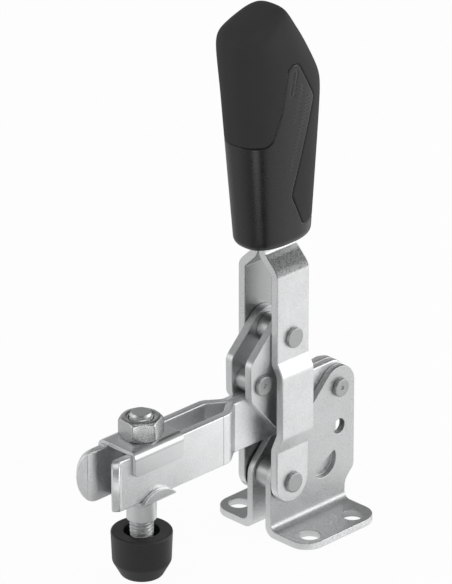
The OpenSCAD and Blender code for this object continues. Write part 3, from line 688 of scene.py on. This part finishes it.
hard_plastic = moulded_material("hard_grip_plastic", tone=0.011, grain_size=2300.0, contrast=2.4,
                                dullness=0.24, relief=1.0, depth=0.00003, gloss=0.47)
soft_skin = moulded_material("soft_grip_skin", tone=0.039, grain_size=5200.0, contrast=0.3,
                             dullness=0.60, relief=0.3, depth=0.00002, gloss=0.16)
body_lift = moulded_part(hard_depth) + leaf_ribs() * (hard_depth > 0.5)
grip_part("grip_body", body_lift, hard_plastic, "grip_core")
grip_part("grip_soft_skin", moulded_part(-hard_depth), soft_skin, "grip_skin")


# Saddles
# Two bright-plated saddles hug the arm from above and below. The lower one ends in a
# threaded neck, so that the screw and its lock nut clamp both to the arm.

saddle_edge, saddle_sharpest = 0.0002, 50.0
saddle_half, saddle_top, saddle_bend, soft_saddle_bend = 0.0085, 0.05425, 0.0016, 0.0025
saddle_sheet, inner_bend, soft_inner_bend = 0.0015, 0.0001, 0.0004
neck_below, neck_cut = 0.0245, 0.0012

# The saddle's mark is painted shade: a faint dark line about 2.7 mm below the top on the flanges' outer
# faces, along the bend.
saddle_steel = plated_steel("saddle_zinc", tone=0.78, dullness=0.33, speckle=0.3,
                            mark=("Z", 0.05135, 0.05185, 0.0002, 0.28, 0.0))
upper = stamped_piece("upper_arm_saddle", "upper_saddle", saddle_steel, "spindle_set",
                      saddle_edge, saddle_sharpest)
widen_bend(upper, saddle_half, saddle_top, -1, -1, saddle_bend, soft_saddle_bend)
widen_bend(upper, saddle_half - saddle_sheet, saddle_top - saddle_sheet, -1, -1, inner_bend, soft_inner_bend)
lower = stamped_piece("lower_arm_saddle", "lower_saddle", saddle_steel, "spindle_set",
                      saddle_edge, saddle_sharpest)
# The end of the threaded neck stands a little higher than in the solid.
neck_points = mesh_points(lower.data)
neck_points[:, 2] += np.where(neck_points[:, 2] < neck_below, neck_cut, 0.0)
set_mesh_points(lower.data, neck_points)


# Lock nut
# A hexagon nut, 13 mm across its flats, locks the screw on top of the upper saddle. It is
# cold formed with conical chamfers, and its bore is countersunk.

screw_axis = np.array([0.0705, 0.0, 0.0])
hexagon_across, hexagon_turn = 0.013, math.radians(23.5 - 30)
nut_high, nut_bore, countersink = 0.06105, 0.00398, 0.0005


def hexagon_points(low, high, bore, steps=30):
    """A hexagon block with a bore: the flat's distance over the cosine of the angle gives the side, and the
    conical chamfers meet it where their radius equals it, so each ring's height follows the angle."""
    corner_cut, cone_share, cone_slope = 0.00012, 0.95, math.tan(math.radians(42))
    angle = np.linspace(0, 2 * np.pi, 6 * steps, endpoint=False)
    off = (angle + np.pi / 6) % (np.pi / 3) - np.pi / 6
    side = np.minimum(hexagon_across / 2 / np.cos(off), hexagon_across / math.sqrt(3) - corner_cut)
    cone = hexagon_across / 2 * cone_share
    drop = (side - cone) * cone_slope
    same = np.ones_like(angle)
    mouth = bore + countersink
    rings = [(bore * same, (low + countersink) * same), (mouth * same, low * same), (cone * same, low * same),
             (side, low + drop), (side, high - drop), (cone * same, high * same), (mouth * same, high * same),
             (bore * same, (high - countersink) * same)]
    radius, height = (np.stack(part, axis=1) for part in zip(*rings))
    turned = (angle + hexagon_turn)[:, None]
    return np.stack([radius * np.cos(turned), radius * np.sin(turned), height], axis=-1)


nut_zinc = plated_steel("nut_zinc", tone=0.57, dullness=0.30, speckle=1.6)
nut_points = hexagon_points(saddle_top, nut_high, nut_bore) + screw_axis
nut_mesh = face_outward(grid_mesh("hexagon_lock_nut", nut_points, ring=True))
keep_flats(add_piece("hexagon_lock_nut", nut_mesh, nut_zinc, "spindle_set", ["lock_nut"]))


# Clamping screw
# An 8 mm screw with a 1.25 mm thread stands head down in the rubber cap. The thread is
# rolled, and its end is chamfered.

screw_low, screw_high, thread_radius, thread_pitch, thread_depth = 0.0173, 0.06265, 0.00395, 0.00125, 0.00068
end_chamfer, chamfer_slope = 0.0008, 0.6
head_low, head_high, head_flat = 0.01235, 0.01765, 0.0010


def thread_points(steps=72, rings_per_pitch=12):
    """A rolled thread: the radius is a cosine of height less the turned angle, in pitches, and it is cut
    down to a cone at the end. Two last rings on the end face keep it flat."""
    angle = np.linspace(0, 2 * np.pi, steps, endpoint=False)[:, None]
    rings = round((screw_high - screw_low) / thread_pitch * rings_per_pitch)
    height = np.concatenate([np.linspace(screw_low, screw_high - 0.0002, rings),
                             [screw_high - 0.00006, screw_high]])[None, :]
    phase = (height / thread_pitch - angle / (2 * np.pi)) % 1
    ridge = 0.5 + 0.5 * np.cos(2 * np.pi * phase)
    cone = thread_radius - end_chamfer + (screw_high - height) * chamfer_slope
    radius = np.minimum(thread_radius - thread_depth * ridge, cone + 0 * angle)
    thread = np.stack([radius * np.cos(angle), radius * np.sin(angle), height + 0 * angle], axis=-1)
    rims = [thread[:, -1:] * [share, share, 1] for share in (0.95, 0.5)]
    return np.concatenate([thread, *rims], axis=1)


screw_zinc = plated_steel("screw_zinc", tone=0.66, dullness=0.33, speckle=0.1)
screw_mesh = face_outward(grid_mesh("clamping_screw_thread", thread_points() + screw_axis))
head_points = hexagon_points(head_low, head_high, head_flat)[:, 1:-1] + screw_axis
head_mesh = face_outward(grid_mesh("screw_head", head_points))
whole_screw = bmesh.new()
whole_screw.from_mesh(screw_mesh)
whole_screw.from_mesh(head_mesh)
whole_screw.to_mesh(screw_mesh)
whole_screw.free()
add_piece("threaded_screw", screw_mesh, screw_zinc, "screw", ["clamping_screw"])


# Rubber cap
# A moulded black cap is pressed over the screw head to spare the workpiece. Its rim is
# round, it tapers to a small flat end, and a recess leaves room round the thread.

cap_low, cap_waist, cap_high = 0.00485, 0.01015, 0.02065
end_radius, waist_radius, cap_radius, recess_radius = 0.0067, 0.0096, 0.01005, 0.00585

cap_line = rounded_profile([
    (0.0, cap_low, 0), (end_radius, cap_low, 0.0009), (waist_radius, cap_waist, 0.0005),
    (cap_radius, cap_high, 0.0009), (recess_radius, cap_high, 0.0004),
    (recess_radius - 0.0001, head_high, 0.0003), (0.0030, head_high, 0)], steps=6)
cap_mesh = face_outward(grid_mesh("rubber_cap", turned_points(cap_line[1:], screw_axis, (0, 0, 1), 96)))
cap_rubber = moulded_material("cap_rubber", tone=0.020, grain_size=2600.0, contrast=1.2, dullness=0.44,
                              relief=0.6, depth=0.00004, gloss=0.5)
keep_flats(add_piece("rubber_end_cap", cap_mesh, cap_rubber, "screw", ["rubber_cap"]))


# Floor and light
# A floor runs to a white horizon: plain white to the camera, while to metal it carries painted light, with a
# painted shadow under the clamp, the panels' light further out and a painted bright strip in front. Pale
# panels stand on both sides, the brighter one on the right, and the room is darker overhead. Three soft lamps
# light the clamp and its shadow.

room_level, ambient_level, overhead = 0.62, 0.62, 0.22
right_panel, left_panel, dark_gap = 0.80, 0.36, 0.45
# Painted light on the floor, as metal sees it: plain near the clamp, a painted shadow under it, and a painted
# bright strip in front.
near_floor, shaded_floor, floor_share, painted_light_strip = 1.0, 0.5, 0.68, 1.7
floor_reach, floor_height, paper_tone = 12, -0.00005, 0.86
shaded_spot = (-0.022, 0.0, 0.0)
level_diagonal = 0.7071


def background_rays(tree):
    """1 for the rays that look at the background: from the camera, or by way of metal or glass."""
    path = tree.nodes.new("ShaderNodeLightPath")
    seen = arithmetic(tree, "MAXIMUM", path.outputs["Is Camera Ray"], path.outputs["Is Glossy Ray"])
    return arithmetic(tree, "MAXIMUM", seen, path.outputs["Is Transmission Ray"])


def studio_group():
    """Brightness of the studio in a direction: two side panels and a dark gap on a plain level, by the
    share of the level direction that points to the right, and darker where the direction rises."""
    group, given, made = new_group("studio_panels", [("Direction", "NodeSocketVector", (0, 0, 0))],
                                   [("Value", "NodeSocketFloat")])
    parts = group.nodes.new("ShaderNodeSeparateXYZ")
    group.links.new(given.outputs["Direction"], parts.inputs[0])
    lean = arithmetic(group, "SUBTRACT", parts.outputs["Y"], parts.outputs["X"])
    across = arithmetic(group, "MULTIPLY", lean, level_diagonal)
    squares = [arithmetic(group, "MULTIPLY", parts.outputs[axis], parts.outputs[axis]) for axis in "XY"]
    square = arithmetic(group, "ADD", arithmetic(group, "ADD", *squares), 1e-6)
    share = arithmetic(group, "DIVIDE", across, arithmetic(group, "POWER", square, 0.5))
    right = smooth_range(group, share, 0.40, 0.76, 0.0, right_panel)
    left = smooth_range(group, share, -0.97, -0.45, left_panel, 0.0)
    gap = arithmetic(group, "MULTIPLY", smooth_range(group, share, 0.08, 0.22, 0.0, 1.0),
                     smooth_range(group, share, 0.40, 0.52, 1.0, 0.0))
    plain = arithmetic(group, "MULTIPLY_ADD", gap, -dark_gap, room_level)
    panels = arithmetic(group, "ADD", arithmetic(group, "ADD", right, left), plain)
    rise = smooth_range(group, parts.outputs["Z"], 0.31, 0.55, 1.0, overhead)
    group.links.new(arithmetic(group, "MULTIPLY", panels, rise), made.inputs["Value"])
    return group


studio_panels = studio_group()


def studio_value(tree, direction):
    """The studio's brightness, read in the given direction."""
    node = tree.nodes.new("ShaderNodeGroup")
    node.node_tree = studio_panels
    tree.links.new(direction, node.inputs["Direction"])
    return node.outputs["Value"]


def white_light(tree, strength):
    """A white background of the given strength, which is a number or a socket."""
    node = tree.nodes.new("ShaderNodeBackground")
    node.inputs["Color"].default_value = (1, 1, 1, 1)
    if isinstance(strength, float):
        node.inputs["Strength"].default_value = strength
    else:
        tree.links.new(strength, node.inputs["Strength"])
    return node.outputs[0]


def chosen(tree, share, first, second):
    """The second shader for the given share, and the first for the rest."""
    node = tree.nodes.new("ShaderNodeMixShader")
    tree.links.new(share, node.inputs["Fac"])
    tree.links.new(first, node.inputs[1])
    tree.links.new(second, node.inputs[2])
    return node.outputs[0]


world = bpy.data.worlds.new("studio")
bpy.context.scene.world = world
world.use_nodes = True
air = world.node_tree
air.nodes.clear()
air_path, air_out = air.nodes.new("ShaderNodeLightPath"), air.nodes.new("ShaderNodeOutputWorld")
around = air.nodes.new("ShaderNodeTexCoord").outputs["Generated"]
seen_by_metal = chosen(air, background_rays(air), white_light(air, ambient_level),
                       white_light(air, studio_value(air, around)))
seen_by_camera = chosen(air, air_path.outputs["Is Camera Ray"], seen_by_metal, white_light(air, 1.0))
air.links.new(seen_by_camera, air_out.inputs["Surface"])

floor_corners = [(x, y, floor_height) for x, y in ((-floor_reach, -floor_reach), (floor_reach, -floor_reach),
                                                   (floor_reach, floor_reach), (-floor_reach, floor_reach))]
floor_mesh = bpy.data.meshes.new("floor")
floor_mesh.from_pydata(floor_corners, [], [(0, 1, 2, 3)])
floor = bpy.data.objects.new("floor", floor_mesh)
bpy.context.scene.collection.objects.link(floor)


def along_floor(tree, kind, place, other=None):
    """A length, or a distance from or product with another place, measured on the floor."""
    node = tree.nodes.new("ShaderNodeVectorMath")
    node.operation = kind
    tree.links.new(place, node.inputs[0])
    if other:
        node.inputs[1].default_value = other
    return node.outputs["Value"]


def painted_floor_light(tree):
    """What metal sees on the floor, painted into its glow: plain near the clamp with a painted shadow under
    it, the studio's panel light painted further out, and a painted bright strip in front, beyond the clamp's
    own reach."""
    place = tree.nodes.new("ShaderNodeTexCoord").outputs["Object"]
    reach = along_floor(tree, "LENGTH", place)
    spot = along_floor(tree, "DISTANCE", place, shaded_spot)
    # A painted shadow round the spot under the clamp.
    near = smooth_range(tree, spot, 0.018, 0.024, shaded_floor, near_floor)
    far_share = smooth_range(tree, reach, 0.02, 0.06, 0.0, 1.0)
    far = arithmetic(tree, "MULTIPLY", studio_value(tree, place), floor_share)
    lit = arithmetic(tree, "MULTIPLY_ADD", far_share, arithmetic(tree, "SUBTRACT", far, near), near)
    ahead = along_floor(tree, "DOT_PRODUCT", place, (level_diagonal, level_diagonal, 0.0))
    toward = arithmetic(tree, "DIVIDE", ahead, arithmetic(tree, "ADD", reach, 1e-6))
    # A painted bright strip far out in front, which metal shows as highlights on its upright rounded corners.
    strip = arithmetic(tree, "MULTIPLY", smooth_range(tree, toward, 0.96, 0.99, 0.0, painted_light_strip),
                       smooth_range(tree, reach, 0.19, 0.25, 0.0, 1.0))
    return arithmetic(tree, "ADD", lit, strip)


paper = bpy.data.materials.new("white_paper")
paper.use_nodes = True
sheet = paper.node_tree
paper_shader = sheet.nodes["Principled BSDF"]
paper_shader.inputs["Base Color"].default_value = (paper_tone, paper_tone, paper_tone, 1)
paper_shader.inputs["Roughness"].default_value = 1.0
paper_shader.inputs["Specular IOR Level"].default_value = 0.0
painted_floor_level = painted_floor_light(sheet)
sheet_path, glow = sheet.nodes.new("ShaderNodeLightPath"), sheet.nodes.new("ShaderNodeEmission")
# The floor glows plain white for the camera and with its painted light for metal.
blank_share = arithmetic(sheet, "SUBTRACT", 1.0, painted_floor_level)
glow_level = arithmetic(sheet, "MULTIPLY_ADD", sheet_path.outputs["Is Camera Ray"], blank_share, painted_floor_level)
sheet.links.new(glow_level, glow.inputs["Strength"])
glow_share = arithmetic(sheet, "MULTIPLY", background_rays(sheet), 0.95)
sheet.links.new(chosen(sheet, glow_share, paper_shader.outputs[0], glow.outputs[0]),
                sheet.nodes["Material Output"].inputs["Surface"])
floor_mesh.materials.append(paper)


def soft_lamp(name, direction, distance, size, power):
    """A square lamp that faces the middle of the clamp from the given direction."""
    lamp = bpy.data.objects.new(name, bpy.data.lights.new(name, "AREA"))
    bpy.context.scene.collection.objects.link(lamp)
    lamp.data.shape, lamp.data.size, lamp.data.energy = "SQUARE", size, power
    away = Vector(direction).normalized()
    lamp.location = Vector((0.02, 0, 0.08)) + away * distance
    lamp.rotation_mode = "QUATERNION"
    lamp.rotation_quaternion = away.to_track_quat("Z", "Y")


soft_lamp("right_lamp", (-0.66, 0.70, 0.20), distance=1.5, size=0.8, power=2.4)
soft_lamp("left_lamp", (0.75, -0.35, 0.35), distance=1.8, size=0.9, power=1.8)
soft_lamp("top_lamp", (0.1, 0.2, 1.0), distance=1.6, size=1.0, power=3.6)

bpy.context.scene.view_settings.view_transform = "Standard"
